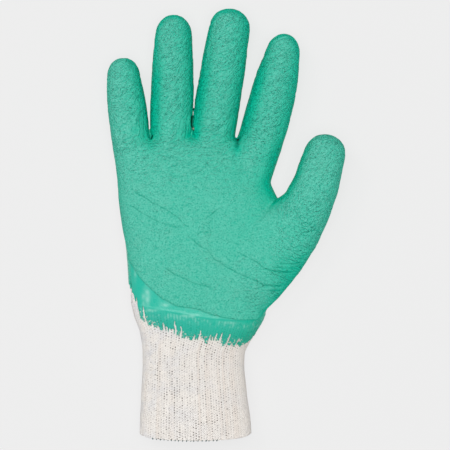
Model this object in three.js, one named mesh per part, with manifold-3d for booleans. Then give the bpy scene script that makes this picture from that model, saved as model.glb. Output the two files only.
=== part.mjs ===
// A right-hand work glove: a knitted liner, closed at the finger ends and open at the cuff, with two
// dips of latex over its palm side. Millimetres. It lies on its back, palm +Z, fingers +Y, thumb +X.
import * as THREE from "three";
import { mergeVertices } from "three/addons/utils/BufferGeometryUtils.js";
import Module from "manifold-3d";

const wasm = await Module();
wasm.setup();

// Hand: wrist to knuckles, across the knuckles, and front to back
const palmLength = 124;
const palmWidth = 87;
const palmDepth = 30;
const webReach = 7;
const restDip = 1.5;

// Wrist and cuff, with how far their middle lies towards the thumb. The knitted cuff piece runs
// from the mouth past the wrist and on up under the dips by cuffRise.
const wristWidth = 61.2;
const wristDepth = 24.5;
const wristShift = 4.7;
const cuffLength = 50;
const cuffRise = 31;
const mouthWidth = 66.8;
const mouthDepth = 28;
const mouthShift = 5.8;
const mouthArch = 2.4;
const hemHeight = 2;
const hemProud = 0.3;

// Fingers: the middle one past the knuckles, and across its root
const fingerLength = 75.9;
const fingerWidth = 23.8;

// Thumb: root to tip, and across its middle
const thumbLength = 126;
const thumbWidth = 26.4;
const thumbDepth = 24;
const thumbTip = 9.5;

// Walls, coats and the gaps between pieces
const linerWall = 1.4;
const gripThickness = 1.2;
const baseThickness = 0.8;
const coatGap = 0.3;
const pieceGap = 0.3;
const dipStep = 3;

// How far a cutting solid runs past what it cuts
const mouthOverrun = 6;
const hemOverrun = 1;
const reach = 400;

// Finger depth against its width, and how much rounder than a box each section is
const fingerFlatness = 0.84;
const fingerRoundness = 2.2;
const handRoundness = 2.6;

const handSides = 24;
const handRings = 14;
const fingerSides = 12;
const fingerRings = 5;
const thumbSides = 16;
const thumbRings = 7;
const tipRings = 4;

// Corners nearer each other than this are one, and nearer the axis than this are on it
const mergeWithin = 1e-4;
const onAxis = 1e-9;

// Fingers. base: share of the palm width from its middle line. root: how deep the finger starts in
// the palm, a share of the palm length. length, width: shares of the finger length and width.
// taper: width at the tip against the root. tip: length of the round end, a share of its own width.
// lean and bow: sideways travel over the length, in shares of it. split: where its own liner piece
// starts, a share of its length.
const fingers = [
  { name: "little", base: -0.376, root: 0.13, length: 0.613, width: 0.849, taper: 0.82, tip: 0.43,
    lean: -0.145, bow: 0.04, split: 0.13 },
  { name: "ring", base: -0.097, root: 0.13, length: 0.953, width: 0.958, taper: 0.83, tip: 0.482,
    lean: 0.02, bow: 0, split: 0.24 },
  { name: "middle", base: 0.182, root: 0.13, length: 1, width: 1, taper: 0.88, tip: 0.4,
    lean: 0.156, bow: 0.005, split: 0.23 },
  { name: "index", base: 0.521, root: 0.225, length: 0.804, width: 1.017, taper: 0.73, tip: 0.455,
    lean: 0.3, bow: -0.055, split: 0.12 },
];

// Places along a finger, in shares of its length, between its root and its round end
const fingerPlaces = [0, 0.2, 0.4, 0.6];
const knuckleAlong = 1.04;
const fingerLift = { base: 0.48, tip: 0.68 };
const taperStart = 0.2;
const taperPower = 2.5;

// Sections of the palm from the wrist up. along: share of the palm length. left, right: shares of
// the palm width from its middle line. top, bottom: shares of the palm depth.
const palmSections = [
  { along: 0.169, left: 0.355, right: 0.537, top: 0.86, bottom: 0 },
  { along: 0.256, left: 0.38, right: 0.56, top: 0.91, bottom: 0 },
  { along: 0.353, left: 0.384, right: 0.58, top: 0.96, bottom: 0 },
  { along: 0.498, left: 0.399, right: 0.645, top: 1, bottom: 0 },
  { along: 0.618, left: 0.423, right: 0.666, top: 1, bottom: 0 },
  { along: 0.739, left: 0.444, right: 0.624, top: 0.98, bottom: 0 },
  { along: 0.86, left: 0.456, right: 0.538, top: 0.92, bottom: 0.04 },
  { along: 0.985, left: 0.478, right: 0.5, top: 0.82, bottom: 0.16 },
];

// Sections of the heel of the hand. along: share of the palm length. left, right: shares of the
// wrist width from the wrist's middle line. deep: share of the wrist depth.
const heelSections = [
  { along: 0.005, left: 0.5, right: 0.5, deep: 1 },
  { along: 0.0435, left: 0.505, right: 0.543, deep: 1 },
  { along: 0.111, left: 0.53, right: 0.628, deep: 1.02 },
];

// Sections of the cuff from its mouth up. along: share of the cuff length. flare: share of the way
// from the wrist's size to the mouth's.
const cuffSections = [
  { along: -1, flare: 1 },
  { along: -0.79, flare: 0.8 },
  { along: -0.49, flare: 0.4 },
  { along: -0.17, flare: 0 },
];

// Thumb root: shares of the palm width from its middle line and of the palm length.
const thumbRoot = { across: 0.2735, along: 0.169 };

// Thumb stations. across, along: shares of the thumb length from its root. lift: share of the palm
// depth. wide: share of the thumb width. deep: share of the thumb depth.
const thumbStations = [
  { across: 0, along: 0, lift: 0.45, wide: 1.1, deep: 0.78 },
  { across: 0.088, along: 0.205, lift: 0.54, wide: 1.8, deep: 1.08 },
  { across: 0.22, along: 0.357, lift: 0.6, wide: 1.7, deep: 1.12 },
  { across: 0.314, along: 0.436, lift: 0.65, wide: 1.35, deep: 1.1 },
  { across: 0.384, along: 0.529, lift: 0.71, wide: 1.03, deep: 1.05 },
  { across: 0.43, along: 0.635, lift: 0.77, wide: 0.92, deep: 1 },
  { across: 0.451, along: 0.713, lift: 0.81, wide: 0.87, deep: 0.94 },
  { across: 0.473, along: 0.786, lift: 0.85, wide: 0.81, deep: 0.87 },
];
const thumbSplit = 0.62;

// Level of the grip dip's edge along the hand. along: share of the palm length. level: share of the
// palm depth.
const dipLevels = [
  { along: -0.3, level: 0.72 },
  { along: 0.26, level: 0.567 },
  { along: 0.571, level: 0.467 },
  { along: 1.04, level: 0.34 },
  { along: 2, level: 0.3 },
];

// Front edge of each dip, from the little finger's side to the thumb's. across: share of the palm
// width from its middle line. along: share of the palm length.
const gripEdge = [
  { across: -0.38, along: 0.44 },
  { across: -0.318, along: 0.382 },
  { across: -0.266, along: 0.339 },
  { across: -0.16, along: 0.269 },
  { across: -0.056, along: 0.232 },
  { across: 0.102, along: 0.213 },
  { across: 0.261, along: 0.177 },
  { across: 0.41, along: 0.1645 },
  { across: 0.509, along: 0.1645 },
  { across: 0.585, along: 0.213 },
];
const baseEdge = [
  { across: -0.38, along: 0.348 },
  { across: -0.353, along: 0.305 },
  { across: -0.325, along: 0.237 },
  { across: -0.249, along: 0.16 },
  { across: -0.167, along: 0.1355 },
  { across: -0.063, along: 0.106 },
  { across: 0.04, along: 0.087 },
  { across: 0.247, along: 0.063 },
  { across: 0.371, along: 0.058 },
  { across: 0.433, along: 0.065 },
  { across: 0.489, along: 0.106 },
];

const up = new THREE.Vector3(0, 0, 1);

// A closed three.js geometry as a solid: only its merged corners and whole triangles count.
function solid(geometry) {
  const bare = geometry.clone();
  bare.deleteAttribute("normal");
  bare.deleteAttribute("uv");
  const merged = mergeVertices(bare, mergeWithin);
  const corners = merged.index.array;
  const triangles = [];
  for (let i = 0; i < corners.length; i += 3) {
    const [a, b, c] = corners.subarray(i, i + 3);
    if (a !== b && b !== c && c !== a) {
      triangles.push(a, b, c);
    }
  }
  return new wasm.Manifold(new wasm.Mesh({
    numProp: 3,
    vertProperties: new Float32Array(merged.attributes.position.array),
    triVerts: new Uint32Array(triangles),
  }));
}

function joined(solids) {
  return solids.reduce((whole, next) => whole.add(next));
}

// A closed tube of unit radius along +Y from 0 to 1, with a half-round end from 1 to 2.
function blank(rings, sides) {
  const profile = [new THREE.Vector2(0, 0)];
  for (let i = 0; i <= rings; i += 1) {
    profile.push(new THREE.Vector2(1, i / rings));
  }
  for (let i = 1; i < tipRings; i += 1) {
    const turn = (i / tipRings) * (Math.PI / 2);
    profile.push(new THREE.Vector2(Math.cos(turn), 1 + Math.sin(turn)));
  }
  profile.push(new THREE.Vector2(0, 2));
  return new THREE.LatheGeometry(profile, sides);
}

// A closed tube of unit radius along +Y from 0 to 1, with flat ends.
function flatEnded(sides) {
  const profile = [[0, 0], [1, 0], [1, 1], [0, 1]].map(([x, y]) => new THREE.Vector2(x, y));
  return new THREE.LatheGeometry(profile, sides);
}

function squared(value, roundness) {
  return Math.sign(value) * Math.abs(value) ** (2 / roundness);
}

// Moves each corner of a blank to its place: place(across, along, rise) returns a Vector3.
function shaped(geometry, roundness, place) {
  const position = geometry.attributes.position;
  for (let i = 0; i < position.count; i += 1) {
    const x = position.getX(i);
    const z = position.getZ(i);
    const radius = Math.hypot(x, z);
    const scale = radius > onAxis ? radius : 1;
    const across = radius * squared(x / scale, roundness);
    const rise = radius * squared(z / scale, roundness);
    const spot = place(across, position.getY(i), rise);
    position.setXYZ(i, spot.x, spot.y, spot.z);
  }
  return solid(geometry);
}

function curveOf(stations, point) {
  return new THREE.CatmullRomCurve3(stations.map(point));
}

// A round-ended sleeve through its stations, made larger all round by outset.
function sleeve(digit, outset) {
  const path = curveOf(digit.stations, (s) => new THREE.Vector3(s.x, s.y, s.z));
  const size = curveOf(digit.stations, (s) => new THREE.Vector3(s.halfWidth, s.halfDepth, 0));
  return shaped(blank(digit.rings, digit.sides), fingerRoundness, (across, along, rise) => {
    const share = Math.min(along, 1);
    const heading = path.getTangent(share);
    const side = new THREE.Vector3().crossVectors(heading, up).normalize();
    const lift = new THREE.Vector3().crossVectors(side, heading);
    const half = size.getPoint(share);
    return path.getPoint(share)
      .addScaledVector(heading, (along - share) * (digit.tip + outset))
      .addScaledVector(side, across * (half.x + outset))
      .addScaledVector(lift, rise * (half.y + outset));
  });
}

function fingerDigit(finger) {
  const length = finger.length * fingerLength;
  const width = finger.width * fingerWidth;
  const tip = finger.tip * width;
  const capStart = 1 - tip / length;
  const rootShare = -finger.root * palmLength / length;
  const stations = [rootShare, ...fingerPlaces, capStart].map((share) => {
    const pull = Math.max(0, (share - taperStart) / (capStart - taperStart)) ** taperPower;
    const halfWidth = (width / 2) * (1 - (1 - finger.taper) * pull);
    const lifted = fingerLift.base + (fingerLift.tip - fingerLift.base) * Math.max(0, share);
    return {
      x: finger.base * palmWidth + length * (finger.lean * share + finger.bow * share ** 2),
      y: knuckleAlong * palmLength + length * share,
      z: lifted * palmDepth,
      halfWidth,
      halfDepth: halfWidth * fingerFlatness,
    };
  });
  const split = (finger.split - rootShare) / (capStart - rootShare);
  return { name: finger.name, stations, tip, split, rings: fingerRings, sides: fingerSides };
}

function thumbDigit() {
  const stations = thumbStations.map((row) => ({
    x: thumbRoot.across * palmWidth + row.across * thumbLength,
    y: thumbRoot.along * palmLength + row.along * thumbLength,
    z: row.lift * palmDepth,
    halfWidth: (row.wide * thumbWidth) / 2,
    halfDepth: (row.deep * thumbDepth) / 2,
  }));
  return {
    name: "thumb", stations, tip: thumbTip, split: thumbSplit, rings: thumbRings, sides: thumbSides,
  };
}

// The hand's own sections, mouth to knuckles: place along the hand, edges, and heights.
function handSections() {
  const cuff = cuffSections.map((row) => {
    const half = THREE.MathUtils.lerp(wristWidth, mouthWidth, row.flare) / 2;
    const middle = THREE.MathUtils.lerp(wristShift, mouthShift, row.flare);
    return {
      y: row.along * cuffLength, left: middle - half, right: middle + half,
      top: THREE.MathUtils.lerp(wristDepth, mouthDepth, row.flare), bottom: 0,
      arch: mouthArch * row.flare ** 2,
    };
  });
  const heel = heelSections.map((row) => ({
    y: row.along * palmLength,
    left: wristShift - row.left * wristWidth,
    right: wristShift + row.right * wristWidth,
    top: row.deep * wristDepth,
    bottom: 0,
    arch: 0,
  }));
  const palm = palmSections.map((row) => ({
    y: row.along * palmLength, left: -row.left * palmWidth, right: row.right * palmWidth,
    top: row.top * palmDepth, bottom: row.bottom * palmDepth, arch: 0,
  }));
  return [...cuff, ...heel, ...palm];
}

// Palm, wrist and cuff in one sleeve, flat on z = 0 below. overrun carries it past the mouth.
function handSleeve(outset, overrun) {
  const rows = handSections();
  const edges = curveOf(rows, (s) => new THREE.Vector3(s.left, s.right, s.y));
  const heights = curveOf(rows, (s) => new THREE.Vector3(s.top, s.bottom - restDip, s.arch));
  const floor = Math.max(0, -outset);
  return shaped(blank(handRings, handSides), handRoundness, (across, along, rise) => {
    const share = Math.min(along, 1);
    const edge = edges.getPoint(share);
    const height = heights.getPoint(share);
    const half = (edge.y - edge.x) / 2 + outset;
    const middle = (edge.x + edge.y) / 2;
    const equator = (height.x + height.y) / 2;
    const z = equator + rise * (height.x - equator + outset);
    const past = along === 0 ? overrun : 0;
    const y = edge.z + height.z * across ** 2 + (along - share) * (webReach + outset) - past;
    return new THREE.Vector3(middle + across * half, y, Math.max(z, floor));
  });
}

const digits = [...fingers.map(fingerDigit), thumbDigit()];

function skin(outset, overrun = 0) {
  return joined([handSleeve(outset, overrun), ...digits.map((digit) => sleeve(digit, outset))]);
}

// All that lies past a plane across the hand, from y = start to y = end.
function slab(start, end) {
  const box = new THREE.BoxGeometry(reach, end - start, reach);
  return solid(box.translate(0, (start + end) / 2, 0));
}

// All that lies past a digit's split, square to the digit there, moved towards its root by slack.
function pastSplit(digit, slack) {
  const path = curveOf(digit.stations, (s) => new THREE.Vector3(s.x, s.y, s.z));
  const heading = path.getTangent(digit.split);
  const spot = path.getPoint(digit.split);
  const box = new THREE.BoxGeometry(reach, reach, reach);
  box.translate(0, reach / 2 - slack, 0);
  box.applyQuaternion(new THREE.Quaternion().setFromUnitVectors(new THREE.Vector3(0, 1, 0), heading));
  return solid(box.translate(spot.x, spot.y, spot.z));
}

// The space that one dip wets: above its level and past its front edge, both moved out by grow.
function dipRegion(edge, drop, grow) {
  const side = new THREE.Shape();
  side.moveTo(-reach, reach);
  for (const row of dipLevels) {
    side.lineTo(row.along * palmLength, row.level * palmDepth - drop - grow);
  }
  side.lineTo(reach, dipLevels.at(-1).level * palmDepth - drop - grow);
  side.lineTo(reach, reach);
  const above = new THREE.ExtrudeGeometry(side, { depth: reach, bevelEnabled: false });
  above.translate(0, 0, -reach / 2);
  above.applyMatrix4(new THREE.Matrix4().makeBasis(
    new THREE.Vector3(0, 1, 0), new THREE.Vector3(0, 0, 1), new THREE.Vector3(1, 0, 0),
  ));
  const front = new THREE.Shape();
  front.moveTo(-reach, reach);
  front.lineTo(-reach, edge[0].along * palmLength - grow);
  for (const row of edge) {
    front.lineTo(row.across * palmWidth, row.along * palmLength - grow);
  }
  front.lineTo(reach, edge.at(-1).along * palmLength - grow);
  front.lineTo(reach, reach);
  const beyond = new THREE.ExtrudeGeometry(front, { depth: reach, bevelEnabled: false });
  return solid(above).intersect(solid(beyond));
}

const group = new THREE.Group();

function addPiece(name, body, material) {
  const made = body.getMesh();
  const geometry = new THREE.BufferGeometry();
  geometry.setAttribute("position", new THREE.BufferAttribute(made.vertProperties, 3));
  geometry.setIndex(new THREE.BufferAttribute(made.triVerts, 1));
  geometry.computeVertexNormals();
  const mesh = new THREE.Mesh(geometry, material);
  mesh.name = name;
  group.add(mesh);
}

function knit(color) {
  return new THREE.MeshStandardMaterial({ color, roughness: 0.9, metalness: 0 });
}

function latex(color, roughness) {
  return new THREE.MeshStandardMaterial({ color, roughness, metalness: 0 });
}

// Liner: one knitted skin in pieces that meet above the wrist and at each digit
const liner = skin(0).subtract(skin(-linerWall, mouthOverrun));

function addCuff() {
  const cuff = liner.intersect(slab(-reach, cuffRise - pieceGap / 2));
  addPiece("knit_cuff", cuff, knit(0xe9e3dc));
}

function addHandLiner() {
  const palm = liner.intersect(slab(cuffRise + pieceGap / 2, reach));
  const taken = digits.map((digit) => sleeve(digit, pieceGap).intersect(pastSplit(digit, pieceGap)));
  addPiece("hand_liner", palm.subtract(joined(taken)), knit(0xe6e0d8));
}

function addDigitLiner(digit) {
  const shell = sleeve(digit, 0).subtract(sleeve(digit, -linerWall));
  addPiece(`${digit.name}_liner`, shell.intersect(pastSplit(digit, 0)), knit(0xe6e0d8));
}

// Dips: the smooth one shows where the crinkled one stops
const gripSpace = dipRegion(gripEdge, 0, 0);
const grippedSpace = dipRegion(gripEdge, 0, pieceGap);
const baseSpace = dipRegion(baseEdge, dipStep, 0);

function addBaseCoat() {
  const film = skin(coatGap + baseThickness).subtract(skin(coatGap));
  addPiece("base_coat", film.intersect(baseSpace).subtract(grippedSpace), latex(0x22a58c, 0.35));
}

function addGripCoat() {
  const film = skin(coatGap + gripThickness).subtract(skin(coatGap));
  addPiece("grip_coat", film.intersect(gripSpace), latex(0x46bda4, 0.55));
}

// Overlocked edge: a thin collar past the cuff's mouth, with the mouth's own arch
function addHem() {
  const mouth = handSections()[0];
  const collar = (outset, below, above) => {
    const half = (mouth.right - mouth.left) / 2 + outset;
    const middle = (mouth.left + mouth.right) / 2;
    const equator = (mouth.top - restDip) / 2;
    return shaped(flatEnded(handSides), handRoundness, (across, along, rise) => {
      const z = equator + rise * (mouth.top - equator + outset);
      const level = mouth.y - pieceGap + mouth.arch * across ** 2;
      const y = level - below * (1 - along) + above * along;
      return new THREE.Vector3(middle + across * half, y, Math.max(z, 0, -outset));
    });
  };
  const inside = collar(-linerWall - hemProud, hemHeight + hemOverrun, hemOverrun);
  addPiece("cuff_hem", collar(hemProud, hemHeight, 0).subtract(inside), knit(0x2c4a4e));
}

addCuff();
addHandLiner();
for (const digit of digits) {
  addDigitLiner(digit);
}
addBaseCoat();
addGripCoat();
addHem();

const box = new THREE.Box3().setFromObject(group);
const centre = box.getCenter(new THREE.Vector3());
group.position.set(-centre.x, -centre.y, -box.min.z);

export default group;
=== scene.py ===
import math

import bmesh
import bpy
import numpy as np
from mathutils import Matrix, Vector, noise
from mathutils.bvhtree import BVHTree
from mathutils.kdtree import KDTree


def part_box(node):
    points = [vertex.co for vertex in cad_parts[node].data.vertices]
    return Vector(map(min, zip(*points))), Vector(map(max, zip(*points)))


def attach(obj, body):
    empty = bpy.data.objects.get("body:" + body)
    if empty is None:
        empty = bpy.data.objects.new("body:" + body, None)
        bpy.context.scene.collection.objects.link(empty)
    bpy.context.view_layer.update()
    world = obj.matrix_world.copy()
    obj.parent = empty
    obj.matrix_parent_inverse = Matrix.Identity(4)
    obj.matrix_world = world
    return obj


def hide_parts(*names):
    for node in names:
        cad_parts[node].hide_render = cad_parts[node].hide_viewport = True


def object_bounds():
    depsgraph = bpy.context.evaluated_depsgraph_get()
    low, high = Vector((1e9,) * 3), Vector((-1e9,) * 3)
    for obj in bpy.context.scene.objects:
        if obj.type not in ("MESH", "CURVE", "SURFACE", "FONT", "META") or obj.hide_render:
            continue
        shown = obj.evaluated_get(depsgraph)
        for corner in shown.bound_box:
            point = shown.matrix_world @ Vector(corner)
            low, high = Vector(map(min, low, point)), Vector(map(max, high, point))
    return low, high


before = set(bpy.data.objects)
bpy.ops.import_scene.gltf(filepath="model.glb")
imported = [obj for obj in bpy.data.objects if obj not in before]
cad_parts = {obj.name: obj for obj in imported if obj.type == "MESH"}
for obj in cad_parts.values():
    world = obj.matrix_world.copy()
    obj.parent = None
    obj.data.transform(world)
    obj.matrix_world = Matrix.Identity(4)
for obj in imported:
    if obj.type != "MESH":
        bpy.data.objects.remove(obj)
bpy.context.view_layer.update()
mm = 0.001

# The glove lies palm up, fingers towards +Y and thumb towards +X, its middle over the origin
palmNodes = ["hand_liner", "little_liner", "ring_liner", "middle_liner", "index_liner", "thumb_liner"]


# Helpers: meshes as arrays, modifiers applied

def arrayOf(items, key):
    flat = np.empty(len(items) * 3, np.float32)
    items.foreach_get(key, flat)
    return flat.reshape(-1, 3).astype(float)


def coordsOf(mesh):
    return arrayOf(mesh.vertices, "co")


def normalsOf(mesh):
    return arrayOf(mesh.vertex_normals, "vector")


def putCoords(mesh, spots):
    mesh.vertices.foreach_set("co", spots.astype(np.float32).ravel())
    mesh.update()


def newObject(name, mesh):
    made = bpy.data.objects.new(name, mesh)
    bpy.context.scene.collection.objects.link(made)
    return made


def bmeshOf(*meshes):
    bm = bmesh.new()
    for mesh in meshes:
        bm.from_mesh(mesh)
    return bm


def meshOf(bm, name):
    mesh = bpy.data.meshes.new(name)
    bm.to_mesh(mesh)
    bm.free()
    return mesh


def modifier(obj, kind, **settings):
    made = obj.modifiers.new(kind.title(), kind)
    for key, value in settings.items():
        setattr(made, key, value)
    return made


def shownMesh(obj):
    graph = bpy.context.evaluated_depsgraph_get()
    return bpy.data.meshes.new_from_object(obj.evaluated_get(graph))


def settled(obj):
    mesh = shownMesh(obj)
    obj.modifiers.clear()
    obj.data = mesh
    return mesh


def remeshed(mesh, voxel, rounds, name):
    obj = newObject(name, mesh)
    if voxel:
        modifier(obj, "REMESH", mode="VOXEL", voxel_size=voxel)
    if rounds:
        modifier(obj, "SMOOTH", factor=0.5, iterations=rounds)
    made = settled(obj)
    bpy.data.objects.remove(obj)
    return made


def inflated(mesh, outset):
    made = mesh.copy()
    putCoords(made, coordsOf(mesh) + normalsOf(mesh) * outset)
    return made


def inflatedCoat(outset):
    spots = coordsOf(handMesh)
    normals = normalsOf(handMesh)
    grow = np.full(len(spots), outset)
    reach = 2 * outset + form["slot"]
    met = (spots[:, 0] > touching["from"]) & (spots[:, 0] < touching["to"]) & (spots[:, 1] < touching["below"])
    for i in np.nonzero((spots[:, 1] > form["slotsFrom"]) & ~met)[0]:
        heading = Vector(normals[i])
        gap = handTree.ray_cast(Vector(spots[i]) + heading * form["offFace"], heading, reach)[3]
        if gap is not None:
            grow[i] = max((gap - form["slot"]) / 2, 0)
    made = handMesh.copy()
    putCoords(made, spots + normals * grow[:, None])
    return made


def treeOf(mesh):
    bm = bmeshOf(mesh)
    tree = BVHTree.FromBMesh(bm)
    bm.free()
    return tree


def noiseAt(points, waves, seed):
    shift = Vector((seed * 7.31, seed * 3.17, seed * 5.53))
    return np.array([noise.noise(Vector(p) + shift) for p in points * waves])


def smoothStep(low, high, values):
    share = np.clip((values - low) / (high - low), 0, 1)
    return share * share * (3 - 2 * share)


def putAttribute(mesh, name, values):
    kind = "FLOAT_VECTOR" if values.ndim == 2 else "FLOAT"
    layer = mesh.attributes.new(name, kind, "POINT")
    layer.data.foreach_set("vector" if values.ndim == 2 else "value", values.astype(np.float32).ravel())


def fromSpot(spots, spot):
    return np.hypot(spots[:, 0] - spot[0], spots[:, 1] - spot[1])


# Each point's place in the knit: the wale, and the course along it
def putWaleSpace(mesh, wales, courses):
    putAttribute(mesh, "waleSpace", np.stack([wales, courses, np.zeros_like(wales)], axis=1))


# The hand's form, from the liner's solids

form = {
    "voxel": 0.6 * mm,
    "closeGaps": 0.25 * mm,   # grown by this so that the liner's pieces meet, and shrunk again
    "softening": 60,          # smoothing rounds, which melt the solids' facets
    "regain": 0.2 * mm,       # what those rounds take off a finger
    "mouthTrim": 2.8 * mm,    # the form is cut square this far above the cuff's lowest edge
    "mouthRun": 16,           # and drawn on straight by so many voxels
    "slot": 1.35 * mm,        # least gap left between two coated fingers
    "slotsFrom": 30 * mm,
    "offFace": 0.05 * mm,     # rays start this far off the form's own face
}

# Where the ring finger meets the middle one
touching = {
    "from": -30 * mm, "to": -12 * mm, "below": 64.5 * mm, "middle": -19.8 * mm, "lean": 0.076, "run": 14 * mm,
    "gapStart": 0.15 * mm, "gapGrowth": 0.045, "gapMost": 0.7 * mm,
}


def keepBiggestIsland(bm):
    bm.verts.ensure_lookup_table()
    seen = np.zeros(len(bm.verts), bool)
    best = []
    bestSize = 0
    for start in bm.verts:
        if seen[start.index]:
            continue
        island = []
        seen[start.index] = True
        waiting = [start]
        while waiting:
            vert = waiting.pop()
            island.append(vert)
            for edge in vert.link_edges:
                other = edge.other_vert(vert)
                if not seen[other.index]:
                    seen[other.index] = True
                    waiting.append(other)
        spots = np.array([v.co for v in island])
        size = np.prod(spots.max(0) - spots.min(0))
        if size > bestSize:
            bestSize = size
            best = island
    kept = set(best)
    bmesh.ops.delete(bm, geom=[v for v in bm.verts if v not in kept], context="VERTS")


def handForm():
    bm = bmeshOf(*[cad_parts[name].data for name in ["knit_cuff"] + palmNodes])
    bmesh.ops.remove_doubles(bm, verts=bm.verts, dist=0.01 * mm)
    bm.normal_update()
    grown = [v.co + v.normal * v.calc_shell_factor() * form["closeGaps"] for v in bm.verts]
    for vert, spot in zip(bm.verts, grown):
        vert.co = spot
    shell = remeshed(meshOf(bm, "linerSolids"), form["voxel"], 0, "linerShell")
    bm = bmeshOf(shell)
    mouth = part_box("knit_cuff")[0].y + form["mouthTrim"]
    bmesh.ops.bisect_plane(bm, geom=bm.verts[:] + bm.edges[:] + bm.faces[:], dist=1e-7,
                           plane_co=(0, mouth, 0), plane_no=(0, 1, 0), clear_inner=True)
    keepBiggestIsland(bm)
    rim = [e for e in bm.edges if e.is_boundary]
    for _ in range(form["mouthRun"]):
        run = bmesh.ops.extrude_edge_only(bm, edges=rim)["geom"]
        bmesh.ops.translate(bm, verts=[g for g in run if isinstance(g, bmesh.types.BMVert)],
                            vec=(0, -form["voxel"], 0))
        rim = [g for g in run if isinstance(g, bmesh.types.BMEdge)]
    bmesh.ops.holes_fill(bm, edges=rim, sides=0)
    bmesh.ops.recalc_face_normals(bm, faces=bm.faces)
    smooth = remeshed(meshOf(bm, "handWhole"), None, form["softening"], "handSmoothed")
    return inflated(smooth, form["regain"] - form["closeGaps"])


handMesh = handForm()
handTree = treeOf(handMesh)
print("hand form", len(handMesh.vertices), "points")


# Where each dip ends

# Edges as pairs of millimetres. Here the first is a place along the hand, the second the height that
# the dips reach there; in the next three the first is a place across the hand, the second one along it.
dipLevel = [
    (-114.2, 21.6), (-44.7, 17.0), (-6.1, 14.0), (52.0, 10.2), (171.0, 9.0),
]
dipStep = 3 * mm    # the smooth dip reaches this much lower down the sides
edgeBlend = 4 * mm  # the side edge and the heel edge meet in a curve this wide

# Lower edge of the crinkled dip over the heel of the hand
gripEdge = [
    (-66.5, 14.0), (-61.5, -6.0), (-57.5, -22.0), (-52.5, -29.7), (-47.9, -35.1), (-43.4, -39.3),
    (-38.6, -43.7), (-34.0, -46.0), (-29.6, -48.3), (-20.3, -49.7), (-15.8, -50.7), (-8.8, -53.4),
    (-2.0, -55.2), (5.8, -56.6), (19.0, -56.8), (22.0, -54.6), (25.0, -51.9), (29.5, -48.0),
]

# Mean lower edge of the smooth dip, before its teeth
baseEdge = [
    (-62.5, -20.0), (-59.0, -31.0), (-55.5, -39.3), (-53.0, -47.0), (-52.4, -52.5), (-46.4, -57.3),
    (-39.2, -60.3), (-30.2, -63.9), (-21.2, -66.3), (-12.2, -68.1), (-3.2, -69.3), (5.8, -69.9),
    (11.8, -69.5), (16.6, -65.6), (23.5, -58.0),
]


# Above this line the smooth dip is thick; below it the knit shows through
knitLine = [
    (-58.0, -46.5), (-51.2, -48.9), (-30.2, -52.5), (-9.0, -56.0), (14.0, -58.0), (30.0, -52.0),
]

# Painted highlights: pale glints laid into the smooth dip's colour
glints = [
    {"spot": (-47.0 * mm, -42.0 * mm), "wide": 1.7 * mm, "tall": 6.0 * mm, "strength": 0.5},
    {"spot": (-49.5 * mm, -45.0 * mm), "wide": 1.0 * mm, "tall": 4.0 * mm, "strength": 0.35},
    {"spot": (-36.4 * mm, -47.6 * mm), "wide": 3.0 * mm, "tall": 1.2 * mm, "strength": 0.4},
    {"spot": (-54.0 * mm, -29.5 * mm), "wide": 0.8 * mm, "tall": 3.5 * mm, "strength": 0.35},
    {"spot": (-44.5 * mm, -50.8 * mm), "wide": 5.0 * mm, "tall": 0.8 * mm, "strength": 0.4},
    {"spot": (-21.5 * mm, -54.0 * mm), "wide": 5.5 * mm, "tall": 0.9 * mm, "strength": 0.45},
    {"spot": (2.0 * mm, -58.5 * mm), "wide": 5.0 * mm, "tall": 0.8 * mm, "strength": 0.25},
]


def alongTable(rows, places):
    return np.interp(places, *(np.array(rows).T * mm))


def aboveDip(spots, drop):
    return spots[:, 2] - alongTable(dipLevel, spots[:, 1]) + drop


def pastEdge(rows, spots):
    return spots[:, 1] - alongTable(rows, spots[:, 0])


def lesser(first, second, blend):
    gap = np.clip(0.5 + 0.5 * (second - first) / blend, 0, 1)
    return second * (1 - gap) + first * gap - blend * gap * (1 - gap)


def insideGrip(spots, wavy=0):
    return lesser(aboveDip(spots, 0), pastEdge(gripEdge, spots) + wavy, edgeBlend)


# Over nought everywhere but in the narrow gap that opens between the ring and middle fingers
def parted(spots):
    start = touching["below"]
    up = spots[:, 1] - start
    aside = np.abs(spots[:, 0] - touching["middle"] - touching["lean"] * up)
    half = np.clip(touching["gapStart"] + touching["gapGrowth"] * up, 0, touching["gapMost"])
    return np.where((up > 0) & (up < touching["run"]), aside - half, 5 * mm)


def cutWhere(bm, field):
    place = bm.verts.layers.float_vector.new("place")
    for vert, value in zip(bm.verts, field):
        vert[place] = vert.co
        vert.co.z = value
    bmesh.ops.bisect_plane(bm, geom=bm.verts[:] + bm.edges[:] + bm.faces[:], dist=1e-8,
                           plane_co=(0, 0, 0), plane_no=(0, 0, 1), clear_inner=True)
    for vert in bm.verts:
        vert.co = vert[place]
    bm.verts.layers.float_vector.remove(place)


def cutSheet(mesh, field, name):
    bm = bmeshOf(mesh)
    cutWhere(bm, field)
    keepBiggestIsland(bm)
    bmesh.ops.remove_doubles(bm, verts=[v for v in bm.verts if v.is_boundary], dist=0.05 * mm)
    return meshOf(bm, name)


def closedCoat(sheet, name, wall, innerShare, restOn=None, clearance=0.0, kept=1.0):
    obj = newObject(name, sheet)
    if kept < 1:
        modifier(obj, "DECIMATE", ratio=kept)
        settled(obj)
    obj.vertex_groups.new(name="inner")
    modifier(obj, "SOLIDIFY", thickness=wall, offset=-1, use_rim=True, shell_vertex_group="inner")
    mesh = settled(obj)
    if restOn is not None:
        modifier(obj, "SHRINKWRAP", target=restOn, vertex_group="inner", offset=clearance,
                 wrap_method="NEAREST_SURFACEPOINT", wrap_mode="ABOVE_SURFACE")
    modifier(obj, "DECIMATE", vertex_group="inner", ratio=(1 + innerShare) / 2)
    settled(obj)
    return obj


# Wales: the columns of stitches, counted round the cuff and on over the heel

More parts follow.
